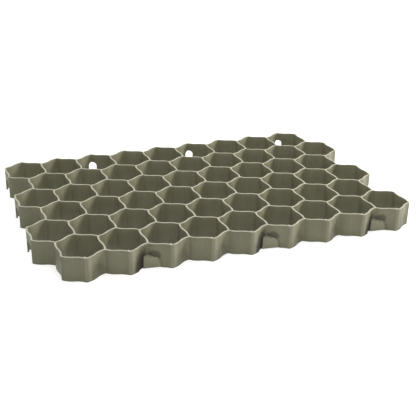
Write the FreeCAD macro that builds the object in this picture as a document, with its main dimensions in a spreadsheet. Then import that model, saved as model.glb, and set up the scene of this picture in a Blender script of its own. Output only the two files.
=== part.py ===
"""Grass paver grid: one moulded honeycomb panel of wavy walls, keyed to its neighbours.

It lies flat on the ground, +X along the rows of cells, +Y towards the rows behind and +Z up.
The origin is the middle of the underside.
"""
import FreeCAD
import Part

import math
import os

from FreeCAD import Placement, Rotation, Vector

NODE = "paver_grid"

# Driving sizes in millimetres, with two counts
SIZES = {
    "columns": (9, "cells in a row"),
    "row_pairs": (3, "pairs of rows, the second row of a pair half a cell to the left"),
    "cell_pitch": (65.0, "from cell to cell along a row"),
    "row_pitch": (64.2, "from row to row"),
    "point_rise": (18.0, "height of the pointed end of a cell, seen from above"),
    "wall_height": (40.0, "underside to rim"),
    "wall_thick": (2.8, "all walls"),
    "wave_depth": (1.4, "swing of a wall to either side of its straight line"),
    "point_round": (3.5, "rounding of the outer points"),
    "valley_round": (2.0, "rounding of the outer valleys"),
    "key_cells": (3, "cells from one front key to the next"),
    "key_foot": (28.0, "front key along its face, at the ground"),
    "key_left": (9.4, "from the valley to the upright end of a front key, along the row"),
    "key_reach": (5.8, "from the valley, or from an end wall, out to the near end of a key's face"),
    "key_turn": (7.0, "turn of a front key's face towards the wall at its right, in degrees"),
    "key_lean": (1.2, "lean of the upright end of a front key"),
    "key_slant": (6.3, "lean of the slanted end of a front key"),
    "key_height": (18.5, "ground to the top of a key"),
    "key_drop": (1.5, "fall of a front key's top towards its slanted end"),
    "end_key_width": (24.0, "key on an end wall"),
    "niche_width": (36.0, "arched niche in the walls round a front key"),
    "niche_depth": (1.5, "how much of the walls' thickness the niche takes"),
    "arch_width": (14.2, "arch under an outer point"),
    "arch_shift": (1.0, "from a valley or a point to the middle of the niche or arch there"),
    "arch_play": (6.5, "clearance of an arch over the key that enters it"),
    "end_play": (3.0, "clearance of an end arch to either side of the key that enters it"),
}


def fill_sheet(doc):
    """Write the driving sizes in a spreadsheet and return it."""
    sheet = doc.addObject("Spreadsheet::Sheet", "Sizes")
    for row, (alias, (value, note)) in enumerate(SIZES.items(), start=1):
        sheet.set(f"A{row}", note)
        sheet.set(f"B{row}", str(value))
        sheet.setAlias(f"B{row}", alias)
    doc.recompute()
    return sheet


def unit(vector):
    """Return a vector of length one along another."""
    return vector * (1.0 / vector.Length)


def half_walls(start, end, swing):
    """Return the two arcs of a wavy wall, each as its centre, radius and the side its centre is on.

    The wall leaves either node to its right, crosses its straight line half way along and
    swings as far to the left, so the same curve comes out from both ends.
    """
    along = end - start
    left = unit(Vector(-along.y, along.x, 0))
    quarter = along.Length / 4
    radius = (quarter**2 + swing**2) / (2 * swing)
    lift = left * (radius - swing)
    return (start + along * 0.25 + lift, radius, 1), (start + along * 0.75 - lift, radius, -1)


def crossing(first, first_radius, second, second_radius, near):
    """Return the crossing of two circles that lies nearer to a point."""
    apart = second - first
    gap = apart.Length
    reach = (gap**2 + first_radius**2 - second_radius**2) / (2 * gap)
    half_chord = math.sqrt(first_radius**2 - reach**2)
    middle = first + apart * (reach / gap)
    aside = Vector(-apart.y, apart.x, 0) * (half_chord / gap)
    return min((middle + aside, middle - aside), key=near.distanceToPoint)


def arc_about(centre, radius, start, end):
    """Return the shorter arc about a centre between two points."""
    return Part.Arc(start, centre + unit(start + end - centre * 2) * radius, end)


def wavy_loop(nodes, swing, offset, round_left=0.0, round_right=0.0):
    """Return the arcs of a closed outline of wavy walls.

    The outline runs beside the nodes' own line, offset to its right, or to its left if negative.
    Corners where it turns left or right may be rounded, each kind with a radius of its own.
    """
    walls = [half_walls(a, b, swing) for a, b in zip(nodes, nodes[1:] + nodes[:1])]
    starts, ends, arcs = [], [], []
    for index, node in enumerate(nodes):
        (before, before_radius, before_side), (after, after_radius, after_side) = (
            walls[index - 1][1],
            walls[index][0],
        )
        turns_left = (node - nodes[index - 1]).cross(nodes[(index + 1) % len(nodes)] - node).z > 0
        rounding = round_left if turns_left else round_right
        shift = offset - rounding if turns_left else offset + rounding
        centre = crossing(
            before, before_radius + before_side * shift, after, after_radius + after_side * shift, node
        )
        enter = before + unit(centre - before) * (before_radius + before_side * offset)
        leave = after + unit(centre - after) * (after_radius + after_side * offset)
        if rounding:
            arcs.append(arc_about(centre, rounding, enter, leave))
        ends.append(enter)
        starts.append(leave)
    for index, ((first, radius, side), (second, _, other_side)) in enumerate(walls):
        joint = first + unit(second - first) * (radius + side * offset)
        arcs.append(arc_about(first, radius + side * offset, starts[index], joint))
        arcs.append(
            arc_about(second, radius + other_side * offset, joint, ends[(index + 1) % len(nodes)])
        )
    return arcs


class Lattice:
    """The straight honeycomb that the wavy walls swing about, centred on the origin."""

    def __init__(self, sheet):
        self.columns = int(sheet.columns)
        self.rows = 2 * int(sheet.row_pairs)
        self.half_pitch = sheet.cell_pitch / 2
        self.row_pitch = sheet.row_pitch
        self.half_side = (sheet.row_pitch - sheet.point_rise) / 2
        self.half_length = (sheet.row_pitch + sheet.point_rise) / 2

    def centre(self, row, column):
        """Return the middle of a cell, rows and columns counted from 1 at the front left."""
        steps = 2 * column - self.columns - 1 + (0.5 if row % 2 else -0.5)
        return Vector(steps * self.half_pitch, (row - (self.rows + 1) / 2) * self.row_pitch, 0)

    def corner(self, row, column, across, up):
        """Return a corner of a cell: across -1, 0 or 1, where 0 is its point, and up -1 or 1."""
        height = self.half_side if across else self.half_length
        return self.centre(row, column) + Vector(across * self.half_pitch, up * height, 0)

    def cell(self, row, column):
        """Return the corners of a cell, counter-clockwise."""
        turns = ((0, -1), (1, -1), (1, 1), (0, 1), (-1, 1), (-1, -1))
        return [self.corner(row, column, across, up) for across, up in turns]

    def outline(self):
        """Return the corners of the whole panel, counter-clockwise from the front left."""
        nodes = [self.corner(1, 1, 0, -1)]
        for column in range(2, self.columns + 1):
            nodes += [self.corner(1, column, -1, -1), self.corner(1, column, 0, -1)]
        for row in range(1, self.rows + 1):
            nodes += [self.corner(row, self.columns, 1, up) for up in (-1, 1)]
        for column in range(self.columns, 1, -1):
            nodes += [self.corner(self.rows, column, 0, 1), self.corner(self.rows, column, -1, 1)]
        nodes.append(self.corner(self.rows, 1, 0, 1))
        for row in range(self.rows, 0, -1):
            nodes += [self.corner(row, 1, -1, up) for up in (1, -1)]
        return nodes


def origin_part(body, role):
    """Return a plane or an axis of a body's own origin."""
    return next(part for part in body.Origin.OriginFeatures if part.Role == role)


def add_sketch(body, name, plane, offset, geometry, turn=Rotation()):
    """Add a sketch on one of the body's origin planes, moved and turned in that plane's frame."""
    sketch = body.newObject("Sketcher::SketchObject", name)
    sketch.AttachmentSupport = [(origin_part(body, plane), "")]
    sketch.MapMode = "FlatFace"
    sketch.AttachmentOffset = Placement(offset, turn)
    sketch.addGeometry(geometry, False)
    return sketch


def polygon(points):
    """Return the sides of a closed flat figure given by its corners, as pairs of numbers."""
    corners = [Vector(x, y, 0) for x, y in points]
    return [Part.LineSegment(a, b) for a, b in zip(corners, corners[1:] + corners[:1])]


def arch(width, height, below):
    """Return a round-topped doorway on the ground, its middle at x = 0, its foot a little below."""
    half = width / 2
    spring = Vector(0, height - half, 0)
    feet = Vector(half, -below, 0), Vector(-half, -below, 0)
    tops = spring + Vector(half, 0, 0), spring - Vector(half, 0, 0)
    return [
        Part.LineSegment(feet[1], feet[0]),
        Part.LineSegment(feet[0], tops[0]),
        Part.Arc(tops[0], Vector(0, height, 0), tops[1]),
        Part.LineSegment(tops[1], feet[1]),
    ]


def add_pocket(body, name, sketch, reverse):
    """Cut a sketch all the way out of the panel, to one side of the sketch."""
    before = body.Tip.Shape.Volume
    pocket = body.newObject("PartDesign::Pocket", name)
    pocket.Profile = sketch
    pocket.Type = "ThroughAll"
    pocket.Reversed = reverse
    body.Document.recompute()
    if pocket.Shape.Volume > before - 1:
        raise RuntimeError(f"{name} cuts nothing")
    return pocket


def add_pattern(body, name, originals, directions):
    """Repeat features: for each direction an axis, a count and a spacing, as sheet expressions."""
    pattern = body.newObject("PartDesign::LinearPattern", name)
    pattern.Originals = originals
    for suffix, (axis, count, spacing) in zip(("", "2"), directions):
        setattr(pattern, "Direction" + suffix, (origin_part(body, axis), [""]))
        pattern.setExpression("Occurrences" + suffix, count)
        pattern.setExpression("Length" + suffix, f"{spacing} * ({count} - 1)")
    body.Tip = pattern
    body.Document.recompute()
    return pattern


def add_pad(body, name, sketch, length, reverse):
    """Raise a sketch by a length, given as a sheet expression."""
    pad = body.newObject("PartDesign::Pad", name)
    pad.Profile = sketch
    pad.setExpression("Length", length)
    pad.Reversed = reverse
    body.Document.recompute()
    return pad


def build_grid(doc, sheet):
    """Build the panel as one body and return it."""
    body = doc.addObject("PartDesign::Body", "PaverGrid")
    body.Label = NODE
    lattice = Lattice(sheet)
    half_wall = sheet.wall_thick / 2
    key_count = "floor(Sizes.columns / Sizes.key_cells)"
    along_rows = ("X_Axis", key_count, "Sizes.cell_pitch * Sizes.key_cells")
    over_pairs = ("Y_Axis", "Sizes.row_pairs", "Sizes.row_pitch * 2")
    arch_height = sheet.key_height + sheet.arch_play
    past_wall = sheet.wave_depth + sheet.wall_thick
    # Keys run back past their walls, and the cells then trim them flush inside
    key_run = "Sizes.key_reach + Sizes.wave_depth + Sizes.wall_thick"

    # Whole panel, still solid
    loop = wavy_loop(
        lattice.outline(), sheet.wave_depth, half_wall, sheet.point_round, sheet.valley_round
    )
    outline = add_sketch(body, "PanelOutline", "XY_Plane", Vector(), loop)
    add_pad(body, "Panel", outline, "Sizes.wall_height", False)

    # Arched niches in the front valleys that get a key, cut out and then closed again at their depth
    valley = lattice.corner(1, int(sheet.key_cells), -1, -1)
    face = add_sketch(
        body,
        "NicheFace",
        "XZ_Plane",
        Vector(valley.x + sheet.arch_shift, 0, -valley.y - past_wall),
        arch(sheet.niche_width, arch_height, sheet.wall_thick),
    )
    niche = add_pocket(body, "Niche", face, True)
    add_pattern(body, "Niches", [niche], [along_rows])
    loop = wavy_loop(
        lattice.outline(),
        sheet.wave_depth,
        half_wall - sheet.niche_depth,
        sheet.point_round - sheet.niche_depth,
        sheet.valley_round + sheet.niche_depth,
    )
    outline = add_sketch(body, "BackingOutline", "XY_Plane", Vector(), loop)
    add_pad(body, "Backing", outline, "Sizes.wall_height", False)

    # Front keys across those valleys, upright at the left and slanted at the right
    face = add_sketch(
        body,
        "FrontKeyFace",
        "XZ_Plane",
        Vector(valley.x - sheet.key_left, 0, sheet.key_reach - valley.y),
        polygon(
            [
                (0, 0),
                (sheet.key_foot, 0),
                (sheet.key_foot - sheet.key_slant, sheet.key_height - sheet.key_drop),
                (sheet.key_lean, sheet.key_height),
            ]
        ),
        Rotation(Vector(0, 1, 0), -sheet.key_turn),
    )
    key = add_pad(body, "FrontKey", face, key_run, True)
    add_pattern(body, "FrontKeys", [key], [along_rows])

    # Keys on the end walls of the rows that stand back at the right
    end_wall = lattice.centre(2, lattice.columns) + Vector(lattice.half_pitch, 0, 0)
    half_key = sheet.end_key_width / 2
    face = add_sketch(
        body,
        "EndKeyFace",
        "YZ_Plane",
        Vector(end_wall.y, 0, end_wall.x + sheet.key_reach),
        polygon(
            [
                (-half_key, 0),
                (half_key, 0),
                (half_key, sheet.key_height),
                (-half_key, sheet.key_height),
            ]
        ),
    )
    key = add_pad(body, "EndKey", face, key_run, True)
    add_pattern(body, "EndKeys", [key], [over_pairs])

    # Cells, open from top to bottom
    cells = [
        arc
        for row in (1, 2)
        for arc in wavy_loop(lattice.cell(row, 1), sheet.wave_depth, -half_wall)
    ]
    cell = add_pocket(body, "Cell", add_sketch(body, "CellPair", "XY_Plane", Vector(), cells), True)
    add_pattern(body, "Cells", [cell], [("X_Axis", "Sizes.columns", "Sizes.cell_pitch"), over_pairs])

    # Arches under the points at the back, over the front keys of the panel behind
    point = lattice.corner(lattice.rows, int(sheet.key_cells), 0, 1)
    face = add_sketch(
        body,
        "BackArchFace",
        "XZ_Plane",
        Vector(point.x + sheet.arch_shift, 0, sheet.point_rise - point.y),
        arch(sheet.arch_width, arch_height, sheet.wall_thick),
    )
    back_arch = add_pocket(body, "BackArch", face, False)
    add_pattern(body, "BackArches", [back_arch], [along_rows])

    # Arches in the end walls at the left, over the end keys of the panel beside it
    end_wall = lattice.centre(2, 1) - Vector(lattice.half_pitch, 0, 0)
    face = add_sketch(
        body,
        "EndArchFace",
        "YZ_Plane",
        Vector(end_wall.y, 0, end_wall.x + past_wall),
        arch(sheet.end_key_width + 2 * sheet.end_play, arch_height, sheet.wall_thick),
    )
    end_arch = add_pocket(body, "EndArch", face, False)
    add_pattern(body, "EndArches", [end_arch], [over_pairs])
    return body


def check(doc, body):
    """Stop if any feature failed or the panel isn't one sound solid."""
    failed = [item.Name for item in doc.Objects if {"Invalid", "Error"} & set(item.State)]
    if failed:
        raise RuntimeError(f"failed features: {failed}")
    shape = body.Shape
    if shape.isNull() or not shape.isValid() or len(shape.Solids) != 1:
        raise RuntimeError("the panel isn't one valid solid")


def main():
    """Build the panel, check it and write it."""
    doc = FreeCAD.newDocument("GrassPaverGrid")
    sheet = fill_sheet(doc)
    body = build_grid(doc, sheet)
    check(doc, body)
    os.makedirs("parts", exist_ok=True)
    body.Shape.exportStep(f"parts/{body.Label}.step")
    box = body.Shape.BoundBox
    print(f"{NODE}: {box.XLength:.2f} x {box.YLength:.2f} x {box.ZLength:.2f} mm")
    print(f"x {box.XMin:.3f} {box.XMax:.3f} y {box.YMin:.3f} {box.YMax:.3f} z {box.ZMin:.3f}")
    print(f"volume {body.Shape.Volume / 1000:.1f} cm3")


main()
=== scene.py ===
"""Looks of the grass paver grid: a wavy honeycomb of olive plastic on a white floor."""

import functools
import logging
import math
from dataclasses import dataclass, field
from enum import Enum

import bpy
from mathutils import Matrix, Vector


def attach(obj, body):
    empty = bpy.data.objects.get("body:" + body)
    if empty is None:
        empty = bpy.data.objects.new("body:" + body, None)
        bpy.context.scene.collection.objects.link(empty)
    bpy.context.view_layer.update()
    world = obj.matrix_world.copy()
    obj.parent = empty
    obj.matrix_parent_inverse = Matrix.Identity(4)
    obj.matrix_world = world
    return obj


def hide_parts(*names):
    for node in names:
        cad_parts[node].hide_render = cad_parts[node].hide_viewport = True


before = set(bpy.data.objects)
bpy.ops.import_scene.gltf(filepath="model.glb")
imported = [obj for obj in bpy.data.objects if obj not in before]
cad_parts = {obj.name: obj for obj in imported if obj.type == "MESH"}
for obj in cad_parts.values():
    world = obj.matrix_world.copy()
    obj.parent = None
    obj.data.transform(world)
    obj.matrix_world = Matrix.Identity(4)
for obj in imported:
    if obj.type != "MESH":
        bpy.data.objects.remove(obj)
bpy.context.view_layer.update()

NODE = "paver_grid"
PHOTO_SIDE = 416
MM = 0.001
MERGE_DISTANCE = 0.002 * MM
CUT_TOLERANCE = 0.001 * MM
NOISE_SPAN = (0.31, 0.69)
UNIT = (0.0, 1.0)
WHITE = (1.0, 1.0, 1.0)
MIX_COLOURS = (6, 7)
MIX_RESULT = 2

Colour = tuple[float, float, float]
Span = tuple[float, float]
Socket = bpy.types.NodeSocket
Source = bpy.types.NodeSocket | float | Colour

logging.basicConfig(level=logging.INFO, format="%(message)s")
log = logging.getLogger(NODE)


class Carve(Enum):
    """How one solid acts on another."""

    CUT = "DIFFERENCE"
    JOIN = "UNION"


class Finish(Enum):
    """The panel's finishes, as places in its list of materials."""

    PLAIN = 0
    GRAINY = 1


class Facing(Enum):
    """The way an upright figure looks, as turns about X and then Z in degrees."""

    FRONT = (90.0, 0.0)
    RIGHT = (90.0, 90.0)


def select_only(piece: bpy.types.Object) -> None:
    """Select one piece and nothing else.

    Args:
        piece: The piece that the next operators act on.
    """
    bpy.ops.object.select_all(action="DESELECT")
    piece.select_set(True)
    bpy.context.view_layer.objects.active = piece


def settle(piece: bpy.types.Object) -> None:
    """Put a piece's place, turn and scale in its mesh, and close and orient that mesh.

    Args:
        piece: The piece to settle.
    """
    select_only(piece)
    bpy.ops.object.transform_apply(location=True, rotation=True, scale=True)
    bpy.ops.object.mode_set(mode="EDIT")
    bpy.ops.mesh.select_all(action="SELECT")
    bpy.ops.mesh.remove_doubles(threshold=MERGE_DISTANCE)
    bpy.ops.mesh.normals_make_consistent(inside=False)
    bpy.ops.object.mode_set(mode="OBJECT")


def raise_loops(
    name: str, loops: list[list[Vector]], height: float, edge: float = 0.0
) -> bpy.types.Object:
    """Raise flat closed loops from the ground to a solid, loops inside others being holes.

    Args:
        name: The new piece's name.
        loops: Points of each loop, in the plane of the ground.
        height: Height of the solid.
        edge: Rounding of its upper and lower edges.

    Returns:
        The solid, as a mesh.
    """
    curve = bpy.data.curves.new(name, "CURVE")
    curve.dimensions = "2D"
    curve.fill_mode = "BOTH"
    curve.extrude = height / 2 - edge
    curve.bevel_depth = edge
    curve.bevel_resolution = 1
    curve.offset = -edge
    for loop in loops:
        spline = curve.splines.new("POLY")
        spline.points.add(len(loop) - 1)
        for point, place in zip(spline.points, loop):
            point.co = (place.x, place.y, 0.0, 1.0)
        spline.use_cyclic_u = True
    piece = bpy.data.objects.new(name, curve)
    bpy.context.collection.objects.link(piece)
    piece.location.z = height / 2
    select_only(piece)
    bpy.ops.object.convert(target="MESH")
    piece = bpy.context.view_layer.objects.active
    settle(piece)
    return piece


def stand_figure(
    name: str, loop: list[Vector], depth: float, foot: Vector, facing: Facing
) -> bpy.types.Object:
    """Make a solid from an upright figure, drawn with x across and y up.

    Args:
        name: The new piece's name.
        loop: Points of the figure.
        depth: Thickness of the solid, half of it to either side of the figure.
        foot: Where the figure's own origin goes.
        facing: The way the figure looks.

    Returns:
        The solid, as a mesh.
    """
    piece = raise_loops(name, [loop], depth)
    tilt, turn = (math.radians(angle) for angle in facing.value)
    piece.matrix_world = (
        Matrix.Translation(foot)
        @ Matrix.Rotation(turn, 4, "Z")
        @ Matrix.Rotation(tilt, 4, "X")
        @ Matrix.Translation((0.0, 0.0, -depth / 2))
    )
    settle(piece)
    return piece


def carve(target: bpy.types.Object, tool: bpy.types.Object, how: Carve) -> None:
    """Cut one solid out of another or join it on, and use it up.

    Args:
        target: The solid that stays.
        tool: The solid that goes.
        how: Cut or join.
    """
    select_only(target)
    change = target.modifiers.new(how.name.lower(), "BOOLEAN")
    change.operation = how.value
    change.solver = "MANIFOLD"
    change.object = tool
    bpy.ops.object.modifier_apply(modifier=change.name)
    bpy.data.objects.remove(tool)


def repeat(piece: bpy.types.Object, step: Vector, count: int) -> list[bpy.types.Object]:
    """Repeat a piece along a line, each copy with its own mesh and its place in it.

    Args:
        piece: The first of them.
        step: How far each is from the one before.
        count: How many there are.

    Returns:
        All of them.
    """
    row = [piece]
    for i in range(1, count):
        twin = piece.copy()
        twin.data = piece.data.copy()
        twin.data.transform(Matrix.Translation(step * i))
        bpy.context.collection.objects.link(twin)
        row.append(twin)
    return row


@dataclass
class Lattice:
    """The straight honeycomb that the wavy walls swing about, centred on the origin.

    Rows count from 1 at the front, and the cells of a row from 1 at the left.
    """

    columns: int = 9
    rows: int = 6
    pitch: float = 65.0 * MM
    row_pitch: float = 64.2 * MM
    rise: float = 18.0 * MM

    def centre(self, row: int, column: int) -> Vector:
        """Find the middle of a cell, on the ground."""
        steps = column - (self.columns + 1) / 2 + (0.25 if row % 2 else -0.25)
        return Vector((steps * self.pitch, (row - (self.rows + 1) / 2) * self.row_pitch, 0.0))

    def corner(self, row: int, column: int, across: int, up: int) -> Vector:
        """Find a cell's corner: left, point or right is -1, 0 or 1, front or back is -1 or 1."""
        reach = (self.row_pitch + (-self.rise if across else self.rise)) / 2
        return self.centre(row, column) + Vector((across * self.pitch / 2, up * reach, 0.0))

    def cell(self, row: int, column: int) -> list[Vector]:
        """List the six corners of a cell, counter-clockwise from the front point."""
        turns = ((0, -1), (1, -1), (1, 1), (0, 1), (-1, 1), (-1, -1))
        return [self.corner(row, column, across, up) for across, up in turns]

    def outline(self) -> list[Vector]:
        """List the corners of the whole panel.

        Returns:
            The corners, counter-clockwise from the front left.
        """
        nodes = [self.corner(1, 1, 0, -1)]
        for column in range(2, self.columns + 1):
            nodes += [self.corner(1, column, -1, -1), self.corner(1, column, 0, -1)]
        for row in range(1, self.rows + 1):
            nodes += [self.corner(row, self.columns, 1, up) for up in (-1, 1)]
        for column in range(self.columns, 1, -1):
            nodes += [self.corner(self.rows, column, 0, 1), self.corner(self.rows, column, -1, 1)]
        nodes.append(self.corner(self.rows, 1, 0, 1))
        for row in range(self.rows, 0, -1):
            nodes += [self.corner(row, 1, -1, up) for up in (1, -1)]
        return nodes


@dataclass(frozen=True)
class HalfWall:
    """One arc of a wall, with the side that its centre is on: 1 to the left, -1 to the right."""

    centre: Vector
    radius: float
    side: int

    def reach(self, offset: float) -> float:
        """Give the arc's radius at a distance to the right of the wall's middle."""
        return self.radius + self.side * offset

    def towards(self, place: Vector, offset: float) -> Vector:
        """Find the arc's point towards a place, at a distance from the wall's middle."""
        return self.centre + (place - self.centre).normalized() * self.reach(offset)


@dataclass
class WavyLoop:
    """A closed line of walls, each an S of two arcs that leaves its nodes to their right."""

    nodes: list[Vector]
    swing: float
    step: float = math.radians(5.5)

    def half_walls(self, start: Vector, end: Vector) -> tuple[HalfWall, HalfWall]:
        """Find the two arcs of a wall.

        Args:
            start: Node that the wall leaves.
            end: Node that it reaches.

        Returns:
            The arcs, in the order that they are met.
        """
        along = end - start
        left = Vector((-along.y, along.x, 0.0)).normalized()
        quarter = along.length / 4
        radius = (quarter**2 + self.swing**2) / (2 * self.swing)
        lift = left * (radius - self.swing)
        first = HalfWall(start + along * 0.25 + lift, radius, 1)
        return first, HalfWall(start + along * 0.75 - lift, radius, -1)

    @staticmethod
    def crossing(first: HalfWall, second: HalfWall, offset: float, near: Vector) -> Vector:
        """Find where two arcs cross, each at a distance from its wall's middle.

        Args:
            first: The first arc.
            second: The second arc.
            offset: The distance, to the right.
            near: Point that the wanted crossing is nearer to.

        Returns:
            The crossing.
        """
        apart = second.centre - first.centre
        gap = apart.length
        radius = first.reach(offset)
        reach = (gap**2 + radius**2 - second.reach(offset) ** 2) / (2 * gap)
        aside = Vector((-apart.y, apart.x, 0.0)) * (math.sqrt(radius**2 - reach**2) / gap)
        middle = first.centre + apart * (reach / gap)
        return min((middle + aside, middle - aside), key=lambda place: (place - near).length)

    def arc(self, centre: Vector, start: Vector, end: Vector) -> list[Vector]:
        """Walk the shorter arc about a centre.

        Args:
            centre: Centre of the arc.
            start: First point.
            end: Last point.

        Returns:
            Points from the first, without the last.
        """
        before, after = start - centre, end - centre
        sweep = math.atan2(before.x * after.y - before.y * after.x, before.dot(after))
        count = max(2, math.ceil(abs(sweep) / self.step))
        return [centre + Matrix.Rotation(sweep * i / count, 3, "Z") @ before for i in range(count)]

    def points(self, offset: float, round_left: float, round_right: float = 0.0) -> list[Vector]:
        """Walk along the walls at a distance.

        Args:
            offset: Distance to the right of the walls' middle, or to the left if negative.
            round_left: Rounding of the corners that turn left.
            round_right: Rounding of the corners that turn right.

        Returns:
            Points of the closed loop.
        """
        count = len(self.nodes)
        following = [*self.nodes[1:], self.nodes[0]]
        walls = [self.half_walls(start, end) for start, end in zip(self.nodes, following)]
        corners = []
        for i, (node, ahead) in enumerate(zip(self.nodes, following)):
            before, after = walls[i - 1][1], walls[i][0]
            turns_left = (node - self.nodes[i - 1]).cross(ahead - node).z > 0
            shift = offset - round_left if turns_left else offset + round_right
            centre = self.crossing(before, after, shift, node)
            corners.append((centre, before.towards(centre, offset), after.towards(centre, offset)))
        loop: list[Vector] = []
        for i, (first, second) in enumerate(walls):
            centre, enter, leave = corners[i]
            joint = first.towards(second.centre, offset)
            loop += self.arc(centre, enter, leave)
            loop += self.arc(first.centre, leave, joint)
            loop += self.arc(second.centre, joint, corners[(i + 1) % count][1])
        return loop


@dataclass(frozen=True)
class Pattern:
    """A noise: its waves in a metre, its octaves, and its scale along Z against the other axes.

    Below 1, the last draws the noise out to upright streaks.
    """

    scale: float
    detail: float
    upright: float = 1.0


@dataclass
class NodeBench:
    """Small tools that wire up the nodes of one material."""

    tree: bpy.types.NodeTree

    def feed(self, socket: Socket, source: Source) -> None:
        """Link an input to an output, or set it to a number or a colour.

        Args:
            socket: The input.
            source: What it takes.
        """
        if isinstance(source, bpy.types.NodeSocket):
            self.tree.links.new(source, socket)
        else:
            socket.default_value = (*source, 1.0) if isinstance(source, tuple) else source

    def reckon(self, operation: str, *sources: Source) -> Socket:
        """Work out values with one Math node.

        Args:
            operation: Name of the node's operation.
            sources: Its values.

        Returns:
            The result.
        """
        node = self.tree.nodes.new("ShaderNodeMath")
        node.operation = operation
        for socket, source in zip(node.inputs, sources):
            self.feed(socket, source)
        return node.outputs[0]

    def gather(self, operation: str, sources: list[Source]) -> Source:
        """Work out many values with one operation, two at a time."""
        return functools.reduce(functools.partial(self.reckon, operation), sources)

    def from_nearest(self, place: Source, first: float, step: float) -> Socket:
        """Measure a place from the nearest of many that repeat at a step."""
        away = self.reckon("SUBTRACT", place, first)
        return self.reckon("WRAP", away, step / 2, -step / 2)

    def spread(self, value: Source, span: Span, result: Span, soft: bool = False) -> Socket:
        """Map a range of values to another.

        Args:
            value: The value.
            span: Ends of its range.
            result: What those ends become.
            soft: Whether the ends are eased.

        Returns:
            The mapped value.
        """
        node = self.tree.nodes.new("ShaderNodeMapRange")
        node.interpolation_type = "SMOOTHSTEP" if soft else "LINEAR"
        for socket, source in zip(node.inputs, (value, *span, *result)):
            self.feed(socket, source)
        return node.outputs[0]

    def noise(self, place: Socket, pattern: Pattern) -> Socket:
        """Add a noise pattern, cut to its usual values and spread from 0 to 1.

        Args:
            place: Coordinates.
            pattern: The pattern.

        Returns:
            Its value.
        """
        mapping = self.tree.nodes.new("ShaderNodeMapping")
        mapping.inputs["Scale"].default_value = (1.0, 1.0, pattern.upright)
        self.feed(mapping.inputs["Vector"], place)
        noise = self.tree.nodes.new("ShaderNodeTexNoise")
        noise.inputs["Scale"].default_value = pattern.scale
        noise.inputs["Detail"].default_value = pattern.detail
        self.feed(noise.inputs["Vector"], mapping.outputs["Vector"])
        return self.spread(noise.outputs["Fac"], NOISE_SPAN, UNIT)

    def blend(self, share: Socket, first: Source, second: Source) -> Socket:
        """Blend two colours.

        Args:
            share: Share of the second colour.
            first: The first colour.
            second: The second colour.

        Returns:
            The blended colour.
        """
        node = self.tree.nodes.new("ShaderNodeMix")
        node.data_type = "RGBA"
        self.feed(node.inputs["Factor"], share)
        for i, source in zip(MIX_COLOURS, (first, second)):
            self.feed(node.inputs[i], source)
        return node.outputs[MIX_RESULT]

    def split(self, vector: Socket) -> tuple[Socket, ...]:
        """Take a vector apart.

        Args:
            vector: The vector.

        Returns:
            Its x, y and z.
        """
        node = self.tree.nodes.new("ShaderNodeSeparateXYZ")
        self.feed(node.inputs[0], vector)
        return tuple(node.outputs)


@dataclass(frozen=True)
class OuterFaces:
    """The outer faces of the walls along the front and the back."""

    from_middle: float = 165.0 * MM
    fade: float = 2.0 * MM
    facing: Span = (0.15, 0.30)

    def share(self, bench: NodeBench, out: Socket, facing: Socket) -> Socket:
        """Tell those faces from the others.

        Args:
            bench: Tools of the material.
            out: Distance from the panel's middle towards the front or the back.
            facing: How far the surface looks the same way.

        Returns:
            1 on those faces and 0 elsewhere.
        """
        span = (self.from_middle, self.from_middle + self.fade)
        near_edge = bench.spread(out, span, UNIT)
        return bench.reckon("MULTIPLY", near_edge, bench.spread(facing, self.facing, UNIT))


@dataclass(frozen=True)
class ShadePatch:
    """An oval patch of painted shade, placed from the valley that it is in."""

    across: float
    up: float
    half_width: float
    half_height: float
    strength: float


@dataclass(frozen=True)
class PaintedShade:
    """Painted shade on the front walls, fading out upwards and to the sides.

    As it stands it is the painted shadow round the keys.
    """

    # Colour of the painted shade.
    colour: Colour = (0.034, 0.031, 0.019)
    dulling: float = 0.3
    faces: OuterFaces = OuterFaces()
    first_valley: float = -146.25 * MM
    step: float = 195.0 * MM
    patches: tuple[ShadePatch, ...] = (
        ShadePatch(-11.5 * MM, 0.0, 11.5 * MM, 33.0 * MM, 1.0),
        ShadePatch(8.5 * MM, 21.0 * MM, 8.0 * MM, 7.5 * MM, 0.65),
    )
    fade: Span = (0.72, 1.45)
    outline: Pattern = Pattern(120.0, 4.0)
    ragged: Span = (-0.10, 0.10)

    def patch_share(
        self, bench: NodeBench, patch: ShadePatch, place: tuple[Source, Source], ragged: Source
    ) -> Socket:
        """Work out how much of the plastic one patch covers.

        Args:
            bench: Tools of the material.
            patch: The patch.
            place: Places from the nearest valley along X and from the ground along Z.
            ragged: What makes its outline uneven.

        Returns:
            The patch's share, from 0 to 1.
        """
        centre, half = (patch.across, patch.up), (patch.half_width, patch.half_height)
        squares = []
        for value, middle, reach in zip(place, centre, half):
            away = bench.reckon("DIVIDE", bench.reckon("SUBTRACT", value, middle), reach)
            squares.append(bench.reckon("MULTIPLY", away, away))
        away = bench.reckon("SQRT", bench.reckon("ADD", *squares))
        away = bench.reckon("ADD", away, ragged)
        return bench.spread(away, self.fade, (patch.strength, 0.0), soft=True)

    def share(self, bench: NodeBench, place: Socket, normal: Socket) -> Source:
        """Work out how much of the plastic the painted shade covers.

        Args:
            bench: Tools of the material.
            place: Object coordinates.
            normal: The surface's normal.

        Returns:
            The stain's share, from 0 to 1.
        """
        x, y, z = bench.split(place)
        from_valley = bench.from_nearest(x, self.first_valley, self.step)
        ragged = bench.spread(bench.noise(place, self.outline), UNIT, self.ragged)
        out = bench.reckon("MULTIPLY", y, -1.0)
        facing = bench.reckon("MULTIPLY", bench.split(normal)[1], -1.0)
        shares = [
            self.patch_share(bench, patch, (from_valley, z), ragged) for patch in self.patches
        ]
        on_face = self.faces.share(bench, out, facing)
        return bench.reckon("MULTIPLY", on_face, bench.gather("MAXIMUM", shares))


@dataclass(frozen=True)
class HighlightLine:
    """An upright line of painted highlight, placed from the point that it runs along."""

    across: float
    half_width: float
    strength: float


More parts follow.
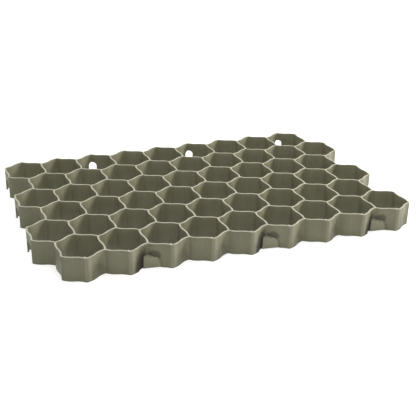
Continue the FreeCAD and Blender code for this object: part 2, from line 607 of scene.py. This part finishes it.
@dataclass(frozen=True)
class PaintedCornerHighlight:
    """Painted highlights in pale upright lines along the outer points of the front and the back.

    The back is the front turned half way round, so its places along X are read the other way.
    """

    # Colour of the painted highlight.
    colour: Colour = (0.300, 0.292, 0.205)
    dulling: float = 0.0
    faces: OuterFaces = OuterFaces()
    first_point: float = -243.75 * MM
    step: float = 65.0 * MM
    lines: tuple[HighlightLine, ...] = (
        HighlightLine(-0.6 * MM, 1.3 * MM, 0.48),
        HighlightLine(5.9 * MM, 3.0 * MM, 0.52),
    )
    fade: Span = (0.55, 1.35)
    highlight_breakup: Pattern = Pattern(90.0, 4.0, 0.4)
    uneven: Span = (0.75, 1.15)

    def share(self, bench: NodeBench, place: Socket, normal: Socket) -> Source:
        """Work out how strong the painted highlight is.

        Args:
            bench: Tools of the material.
            place: Object coordinates.
            normal: The surface's normal.

        Returns:
            The painted highlight, from 0 to 1.
        """
        x, y, _ = bench.split(place)
        side = bench.reckon("SIGN", y)
        along = bench.gather("MULTIPLY", [side, -1.0, x])
        from_point = bench.from_nearest(along, self.first_point, self.step)
        shares = []
        for line in self.lines:
            away = bench.reckon("ABSOLUTE", bench.reckon("SUBTRACT", from_point, line.across))
            reach = bench.reckon("DIVIDE", away, line.half_width)
            shares.append(bench.spread(reach, self.fade, (line.strength, 0.0), soft=True))
        uneven = bench.spread(bench.noise(place, self.highlight_breakup), UNIT, self.uneven)
        facing = bench.reckon("MULTIPLY", bench.split(normal)[1], side)
        on_face = self.faces.share(bench, bench.reckon("ABSOLUTE", y), facing)
        return bench.gather("MULTIPLY", [bench.gather("MAXIMUM", shares), uneven, on_face])


@dataclass(frozen=True)
class OlivePlastic:
    """Moulded olive plastic: mottled, faintly streaked upright, paler along the top of the rim."""

    name: str = "olive_plastic"
    deep: Colour = (0.148, 0.147, 0.089)
    light: Colour = (0.219, 0.215, 0.136)
    # Colour of the paler top of the rim.
    rim_pale_colour: Colour = (0.445, 0.430, 0.333)
    streaks: Pattern = Pattern(420.0, 3.0, 0.03)
    grain: Pattern = Pattern(750.0, 3.0)
    clouds: Pattern = Pattern(28.0, 5.0)
    mottle: tuple[float, float, float] = (0.30, 0.20, 0.50)
    marks: tuple[PaintedShade | PaintedCornerHighlight, ...] = ()
    rim: float = 40.0 * MM
    rim_pale_depth: Span = (0.55 * MM, 0.1 * MM)
    rim_pale_noise: Pattern = Pattern(190.0, 4.0)
    rim_pale_least: float = 0.55
    rim_pale_full: float = 0.8
    sheen: Pattern = Pattern(160.0, 4.0)
    roughness: Span = (0.40, 0.56)
    pores: Pattern = Pattern(1500.0, 2.0)
    bump_strength: float = 0.10
    bump_depth: float = 0.25 * MM
    ior: float = 1.50

    def rim_pale_share(self, bench: NodeBench, place: Socket) -> Socket:
        """Work out how much paler the top of the rim is.

        Args:
            bench: Tools of the material.
            place: Object coordinates.

        Returns:
            The paling, from 0 to 1.
        """
        start, full = (self.rim - depth for depth in self.rim_pale_depth)
        near_rim = bench.spread(bench.split(place)[2], (start, full), UNIT)
        rim_pale_noise = bench.noise(place, self.rim_pale_noise)
        paling = bench.spread(rim_pale_noise, (0.0, self.rim_pale_full), (self.rim_pale_least, 1.0))
        return bench.reckon("MULTIPLY", near_rim, paling)

    def material(self) -> bpy.types.Material:
        """Make the material.

        Returns:
            A node material on Object coordinates.
        """
        material = bpy.data.materials.new(self.name)
        material.use_nodes = True
        nodes = material.node_tree.nodes
        bench = NodeBench(material.node_tree)
        coordinates = nodes.new("ShaderNodeTexCoord")
        place, normal = coordinates.outputs["Object"], coordinates.outputs["Normal"]

        streaks = bench.noise(place, self.streaks)
        patterns = (streaks, bench.noise(place, self.grain), bench.noise(place, self.clouds))
        mottle = [bench.reckon("MULTIPLY", *pair) for pair in zip(patterns, self.mottle)]
        colour = bench.blend(bench.gather("ADD", mottle), self.deep, self.light)
        roughness = bench.spread(bench.noise(place, self.sheen), UNIT, self.roughness)
        # Marks blend painted shade and painted highlights into the colour.
        for mark in self.marks:
            share = mark.share(bench, place, normal)
            colour = bench.blend(share, colour, mark.colour)
            if mark.dulling:
                dulled = bench.reckon("MULTIPLY", share, mark.dulling)
                roughness = bench.reckon("ADD", roughness, dulled)
        # The top of the rim is made paler, with uneven noise along it.
        colour = bench.blend(self.rim_pale_share(bench, place), colour, self.rim_pale_colour)

        bump = nodes.new("ShaderNodeBump")
        bump.inputs["Strength"].default_value = self.bump_strength
        bump.inputs["Distance"].default_value = self.bump_depth
        relief = bench.reckon("ADD", bench.noise(place, self.pores), streaks)
        bench.feed(bump.inputs["Height"], relief)

        shader = nodes["Principled BSDF"]
        bench.feed(shader.inputs["Base Color"], colour)
        bench.feed(shader.inputs["Roughness"], roughness)
        bench.feed(shader.inputs["Normal"], bump.outputs["Normal"])
        shader.inputs["IOR"].default_value = self.ior
        return material


@dataclass
class PaverGrid:
    """The moulded panel: wavy honeycomb, keys with their niches, arches, and nibs on the rim."""

    materials: list[bpy.types.Material]
    lattice: Lattice = field(default_factory=Lattice)
    height: float = 40.0 * MM
    wall: float = 2.8 * MM
    swing: float = 1.4 * MM
    edge: float = 0.45 * MM
    cell_round: float = 3.0 * MM
    point_round: float = 3.5 * MM
    valley_round: float = 2.0 * MM
    key_cells: int = 3
    key_left: float = 9.4 * MM
    key_foot: float = 28.0 * MM
    key_reach: float = 5.8 * MM
    key_turn: float = math.radians(7.0)
    key_lean: float = 1.2 * MM
    key_slant: float = 6.3 * MM
    key_height: float = 18.5 * MM
    key_drop: float = 1.5 * MM
    key_crest: float = 2.6 * MM
    key_ramp: float = math.radians(20.0)
    key_edge: float = 0.6 * MM
    key_edge_steps: int = 2
    key_root: float = 0.5 * MM
    end_row: int = 2
    end_key_width: float = 24.0 * MM
    niche_width: float = 36.0 * MM
    niche_depth: float = 1.5 * MM
    arch_width: float = 14.2 * MM
    arch_shift: float = 1.0 * MM
    arch_height: float = 25.0 * MM
    arch_steps: int = 28
    end_arch_width: float = 30.0 * MM
    clear: float = 12.0 * MM
    nib_along: float = 0.93
    nib_inward: float = 2.9 * MM
    nib_below: float = 0.05 * MM
    nib_half: tuple[float, float, float] = (2.9 * MM, 3.2 * MM, 1.6 * MM)
    nib_segments: int = 14
    nib_rings: int = 8
    smooth_angle: float = math.radians(32.0)

    def outer_loop(self, depth: float = 0.0) -> list[Vector]:
        """Walk round the panel's outer face, or at a depth inside it."""
        rounds = (self.point_round - depth, self.valley_round + depth)
        return WavyLoop(self.lattice.outline(), self.swing).points(self.wall / 2 - depth, *rounds)

    def cell_loop(self, row: int, column: int, depth: float = 0.0) -> list[Vector]:
        """Walk round the inside of a cell, or at a depth in its walls."""
        loop = WavyLoop(self.lattice.cell(row, column), self.swing)
        return loop.points(depth - self.wall / 2, self.cell_round)

    def doorway(self, width: float) -> list[Vector]:
        """Draw a round-topped doorway that starts a little below the ground.

        Args:
            width: Width of the doorway.

        Returns:
            Points of the figure, x across and y up.
        """
        half = width / 2
        spring = self.arch_height - half
        figure = [Vector((-half, -self.wall, 0.0)), Vector((half, -self.wall, 0.0))]
        for i in range(self.arch_steps + 1):
            turn = math.pi * i / self.arch_steps
            top = (half * math.cos(turn), spring + half * math.sin(turn), 0.0)
            figure.append(Vector(top))
        return figure

    def dress(self, piece: bpy.types.Object, finish: Finish) -> bpy.types.Object:
        """Give a piece one of the panel's finishes.

        Args:
            piece: The piece, before it is cut from the panel or joined to it.
            finish: Its finish.

        Returns:
            The same piece.
        """
        piece.data.materials.clear()
        for material in self.materials:
            piece.data.materials.append(material)
        for face in piece.data.polygons:
            face.material_index = finish.value
        return piece

    def sunk_body(self, name: str, loop: list[Vector]) -> bpy.types.Object:
        """Raise a loop from below the ground, so that what it trims keeps no skin on the ground.

        Args:
            name: The body's name.
            loop: Points of the loop.

        Returns:
            The body, up to the panel's height.
        """
        body = raise_loops(name, [loop], self.height + self.clear)
        body.data.transform(Matrix.Translation((0.0, 0.0, -self.clear)))
        return body

    def build_walls(self) -> bpy.types.Object:
        """Raise the honeycomb with its rounded rims.

        Returns:
            The honeycomb.
        """
        cells = [
            self.cell_loop(row, column)
            for row in range(1, self.lattice.rows + 1)
            for column in range(1, self.lattice.columns + 1)
        ]
        walls = raise_loops("paver_panel", [self.outer_loop(), *cells], self.height, self.edge)
        return self.dress(walls, Finish.PLAIN)

    def build_back_arch(self) -> bpy.types.Object:
        """Make the body that the first arch at the back is cut with.

        Returns:
            The cutting body.
        """
        point = self.lattice.corner(self.lattice.rows, self.key_cells, 0, 1)
        foot = point + Vector((self.arch_shift, 0.0, 0.0))
        figure = self.doorway(self.arch_width)
        arch = stand_figure("back_arch", figure, 2 * self.clear, foot, Facing.FRONT)
        return self.dress(arch, Finish.PLAIN)

    def build_end_arch(self) -> bpy.types.Object:
        """Make the body that the first arch in the left end is cut with.

        Returns:
            The cutting body.
        """
        foot = self.lattice.centre(self.end_row, 1) - Vector((self.lattice.pitch / 2, 0.0, 0.0))
        figure = self.doorway(self.end_arch_width)
        arch = stand_figure("end_arch", figure, 2 * self.clear, foot, Facing.RIGHT)
        return self.dress(arch, Finish.PLAIN)

    def build_niche(self) -> bpy.types.Object:
        """Make the thin arched body that the first front niche is cut with.

        Returns:
            The cutting body.
        """
        valley = self.lattice.corner(1, self.key_cells, -1, -1)
        foot = valley + Vector((self.arch_shift, 0.0, 0.0))
        figure = self.doorway(self.niche_width)
        niche = stand_figure("niche", figure, 2 * self.lattice.rise, foot, Facing.FRONT)
        behind = self.sunk_body("behind_niche", self.outer_loop(self.niche_depth))
        carve(niche, behind, Carve.CUT)
        return self.dress(niche, Finish.PLAIN)

    def cut_ramp(self, key: bpy.types.Object, front: float) -> None:
        """Slope the top of an upright front key up towards the wall behind it.

        Args:
            key: The key, still square to the front.
            front: Distance of its front face from its middle.
        """
        fall = Vector((self.key_foot - self.key_slant - self.key_lean, 0.0, -self.key_drop))
        ramp = Vector((0.0, math.cos(self.key_ramp), math.sin(self.key_ramp)))
        select_only(key)
        bpy.ops.object.mode_set(mode="EDIT")
        bpy.ops.mesh.select_all(action="SELECT")
        bpy.ops.mesh.bisect(
            plane_co=(self.key_lean, -front, self.key_height),
            plane_no=fall.cross(ramp).normalized(),
            use_fill=True,
            clear_outer=True,
            threshold=CUT_TOLERANCE,
        )
        bpy.ops.object.mode_set(mode="OBJECT")

    def round_edges(self, key: bpy.types.Object) -> None:
        """Round a key's edges as the mould does.

        Args:
            key: The key, before it is trimmed.
        """
        select_only(key)
        rounding = key.modifiers.new("rounding", "BEVEL")
        rounding.width = self.key_edge
        rounding.segments = self.key_edge_steps
        rounding.limit_method = "ANGLE"
        bpy.ops.object.modifier_apply(modifier=rounding.name)

    def trim_key(self, key: bpy.types.Object, cells: list[tuple[int, int]]) -> bpy.types.Object:
        """Round a key's edges, end it inside the walls and dress it.

        Args:
            key: The key.
            cells: Row and column of the cells that it would reach into.

        Returns:
            The same key.
        """
        self.round_edges(key)
        for row, column in cells:
            inside = self.cell_loop(row, column, self.key_root)
            carve(key, self.sunk_body("cell_core", inside), Carve.CUT)
        return self.dress(key, Finish.GRAINY)

    def build_front_key(self) -> bpy.types.Object:
        """Make the first front key, a wedge turned to the right that ends inside the walls.

        Returns:
            The key.
        """
        crest = self.key_height + self.key_crest
        figure = [
            Vector((0.0, 0.0, 0.0)),
            Vector((self.key_foot, 0.0, 0.0)),
            Vector((self.key_foot - self.key_slant, crest - self.key_drop, 0.0)),
            Vector((self.key_lean, crest, 0.0)),
        ]
        front = self.key_reach + self.swing + self.wall
        key = stand_figure("front_key", figure, 2 * front, Vector(), Facing.FRONT)
        self.cut_ramp(key, front)
        valley = self.lattice.corner(1, self.key_cells, -1, -1)
        near_end = valley - Vector((self.key_left, self.key_reach, 0.0))
        turn = Matrix.Rotation(-self.key_turn, 4, "Z")
        back = Matrix.Translation((0.0, front, 0.0))
        key.matrix_world = Matrix.Translation(near_end) @ turn @ back
        settle(key)
        return self.trim_key(key, [(1, self.key_cells - 1), (1, self.key_cells)])

    def build_end_key(self) -> bpy.types.Object:
        """Make the first key on the right end.

        Returns:
            The key.
        """
        half, top = self.end_key_width / 2, self.key_height
        figure = [
            Vector((-half, 0.0, 0.0)),
            Vector((half, 0.0, 0.0)),
            Vector((half, top, 0.0)),
            Vector((-half, top, 0.0)),
        ]
        row, column = self.end_row, self.lattice.columns
        foot = self.lattice.centre(row, column) + Vector((self.lattice.pitch / 2, 0.0, 0.0))
        key = stand_figure("end_key", figure, 2 * self.key_reach, foot, Facing.RIGHT)
        return self.trim_key(key, [(row, column)])

    def build_nib(self) -> bpy.types.Object:
        """Make the small nib that the mould leaves on the rim, by the first cell's front point.

        Returns:
            The nib.
        """
        start, end = self.lattice.corner(1, 1, -1, -1), self.lattice.corner(1, 1, 0, -1)
        along = end - start
        inward = Vector((-along.y, along.x, 0.0)).normalized()
        place = start + along * self.nib_along + inward * self.nib_inward
        place.z = self.height - self.nib_half[2] - self.nib_below
        bpy.ops.object.select_all(action="DESELECT")
        bpy.ops.mesh.primitive_uv_sphere_add(
            segments=self.nib_segments, ring_count=self.nib_rings, radius=1.0, location=place
        )
        nib = bpy.context.view_layer.objects.active
        nib.name = "nib"
        nib.scale = self.nib_half
        nib.rotation_euler.z = math.atan2(along.y, along.x)
        settle(nib)
        return self.dress(nib, Finish.PLAIN)

    def along_front(self, piece: bpy.types.Object) -> list[bpy.types.Object]:
        """Repeat a piece at every key of the front or arch of the back."""
        step = Vector((self.lattice.pitch * self.key_cells, 0.0, 0.0))
        return repeat(piece, step, self.lattice.columns // self.key_cells)

    def over_rows(self, piece: bpy.types.Object) -> list[bpy.types.Object]:
        """Repeat a piece at every second row."""
        step = Vector((0.0, 2 * self.lattice.row_pitch, 0.0))
        return repeat(piece, step, self.lattice.rows // 2)

    def along_cells(self, piece: bpy.types.Object) -> list[bpy.types.Object]:
        """Repeat a piece at every cell of a row."""
        return repeat(piece, Vector((self.lattice.pitch, 0.0, 0.0)), self.lattice.columns)

    def build(self) -> bpy.types.Object:
        """Model the whole panel.

        Returns:
            The panel, one closed mesh.
        """
        panel = self.build_walls()
        cuts = [
            *self.along_front(self.build_niche()),
            *self.along_front(self.build_back_arch()),
            *self.over_rows(self.build_end_arch()),
        ]
        for tool in cuts:
            carve(panel, tool, Carve.CUT)
        additions = [
            *self.along_front(self.build_front_key()),
            *self.over_rows(self.build_end_key()),
            *self.along_cells(self.build_nib()),
        ]
        for tool in additions:
            carve(panel, tool, Carve.JOIN)
        select_only(panel)
        bpy.ops.object.shade_smooth_by_angle(angle=self.smooth_angle)
        return panel

    def place(self, panel: bpy.types.Object) -> None:
        """Give the panel its place in the frame.

        Args:
            panel: The finished panel.
        """
        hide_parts(NODE)
        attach(panel, "root")


def seen_rays(tree: bpy.types.NodeTree) -> Source:
    """Tell the rays that show the background from those that light the panel.

    Args:
        tree: Node tree of the floor or the surroundings.

    Returns:
        A value that is 1 for what the camera sees, directly, in gloss or through glass.
    """
    path = tree.nodes.new("ShaderNodeLightPath")
    names = ("Is Camera Ray", "Is Glossy Ray", "Is Transmission Ray")
    return NodeBench(tree).gather("MAXIMUM", [path.outputs[name] for name in names])


@dataclass(frozen=True)
class Lamp:
    """A soft square studio lamp that looks at the middle of the panel."""

    name: str
    place: tuple[float, float, float]
    power: float
    colour: Colour = WHITE
    side: float = 0.9

    def light(self) -> None:
        """Hang the lamp and turn it to the panel."""
        data = bpy.data.lights.new(self.name, "AREA")
        data.shape = "SQUARE"
        data.size = self.side
        data.energy = self.power
        data.color = self.colour
        lamp = bpy.data.objects.new(self.name, data)
        bpy.context.collection.objects.link(lamp)
        lamp.location = self.place
        lamp.rotation_euler = (Vector() - Vector(self.place)).to_track_quat("-Z", "Y").to_euler()


@dataclass
class Studio:
    """White floor, white surroundings, soft lamps and the camera."""

    floor_side: float = 12.0
    floor_colour: Colour = (0.62, 0.62, 0.61)
    floor_glow: float = 0.62
    ambient: float = 0.53
    azimuth: float = math.radians(-20.539)
    elevation: float = math.radians(24.982)
    roll: float = math.radians(0.817)
    aim: tuple[float, float, float] = (-0.01872, -0.09770, 0.040)
    distance: float = 1.2864
    focal_pixels: float = 785.82
    sensor: float = 36.0
    lamps: tuple[Lamp, ...] = (
        Lamp("right_lamp", (1.75, -0.10, 1.0), 43.0, (1.0, 0.95, 0.93)),
        Lamp("top_lamp", (0.0, 0.0, 2.0), 10.0),
        Lamp("front_lamp", (0.0, -1.30, 1.53), 6.0),
    )

    def build_floor(self) -> None:
        """Lay the white floor, which keeps the panel's shadow."""
        bpy.ops.object.select_all(action="DESELECT")
        bpy.ops.mesh.primitive_plane_add(size=self.floor_side)
        floor = bpy.context.view_layer.objects.active
        floor.name = "floor"
        material = bpy.data.materials.new("white_floor")
        material.use_nodes = True
        bench = NodeBench(material.node_tree)
        nodes = material.node_tree.nodes
        nodes.remove(nodes["Principled BSDF"])
        matt = nodes.new("ShaderNodeBsdfDiffuse")
        bench.feed(matt.inputs["Color"], self.floor_colour)
        glow = nodes.new("ShaderNodeEmission")
        strength = bench.reckon("MULTIPLY", seen_rays(material.node_tree), self.floor_glow)
        bench.feed(glow.inputs["Strength"], strength)
        total = nodes.new("ShaderNodeAddShader")
        for socket, shader in zip(total.inputs, (matt, glow)):
            bench.feed(socket, shader.outputs[0])
        bench.feed(nodes["Material Output"].inputs["Surface"], total.outputs[0])
        floor.data.materials.append(material)

    def build_surroundings(self) -> None:
        """Fill the room with even light, white where the camera looks at it."""
        world = bpy.data.worlds.new("white_room")
        bpy.context.scene.world = world
        world.use_nodes = True
        bench = NodeBench(world.node_tree)
        background = world.node_tree.nodes["Background"]
        level = bench.spread(seen_rays(world.node_tree), UNIT, (self.ambient, 1.0))
        bench.feed(background.inputs["Strength"], level)
        bench.feed(background.inputs["Color"], WHITE)

    def build_camera(self) -> None:
        """Set the camera where the photograph was taken from."""
        x, y = math.sin(self.azimuth), -math.cos(self.azimuth)
        level = math.cos(self.elevation)
        back = Vector((x * level, y * level, math.sin(self.elevation)))
        right = Vector((-y, x, 0.0))
        up = back.cross(right)
        across = right * math.cos(self.roll) + up * math.sin(self.roll)
        above = up * math.cos(self.roll) - right * math.sin(self.roll)
        data = bpy.data.cameras.new("camera")
        data.sensor_width = self.sensor
        data.lens = self.focal_pixels / PHOTO_SIDE * self.sensor
        camera = bpy.data.objects.new("camera", data)
        bpy.context.collection.objects.link(camera)
        turn = Matrix((across, above, back)).transposed().to_4x4()
        camera.matrix_world = Matrix.Translation(Vector(self.aim) + back * self.distance) @ turn
        bpy.context.scene.camera = camera

    def build(self) -> None:
        """Set up the whole studio."""
        bpy.context.scene.view_settings.view_transform = "Standard"
        self.build_floor()
        self.build_surroundings()
        self.build_camera()
        for lamp in self.lamps:
            lamp.light()


def main() -> None:
    """Build the panel and the studio, and log the panel's face count."""
    # Painted shade low in every fold along the front.
    painted_fold_shade = PaintedShade(
        step=65.0 * MM, patches=(ShadePatch(-15.0 * MM, 5.0 * MM, 11.0 * MM, 17.0 * MM, 0.24),)
    )
    # The plain finish carries painted highlights along the points, painted shade in the folds and
    # painted shadows round the keys.
    plain = OlivePlastic(marks=(PaintedCornerHighlight(), painted_fold_shade, PaintedShade()))
    grainy = OlivePlastic(
        "grainy_plastic",
        deep=(0.185, 0.180, 0.114),
        light=(0.325, 0.316, 0.208),
        mottle=(0.10, 0.65, 0.25),
    )
    grid = PaverGrid([finish.material() for finish in (plain, grainy)])
    panel = grid.build()
    grid.place(panel)
    log.info("%s: %d faces", panel.name, len(panel.data.polygons))
    Studio().build()


if __name__ == "__main__":
    main()
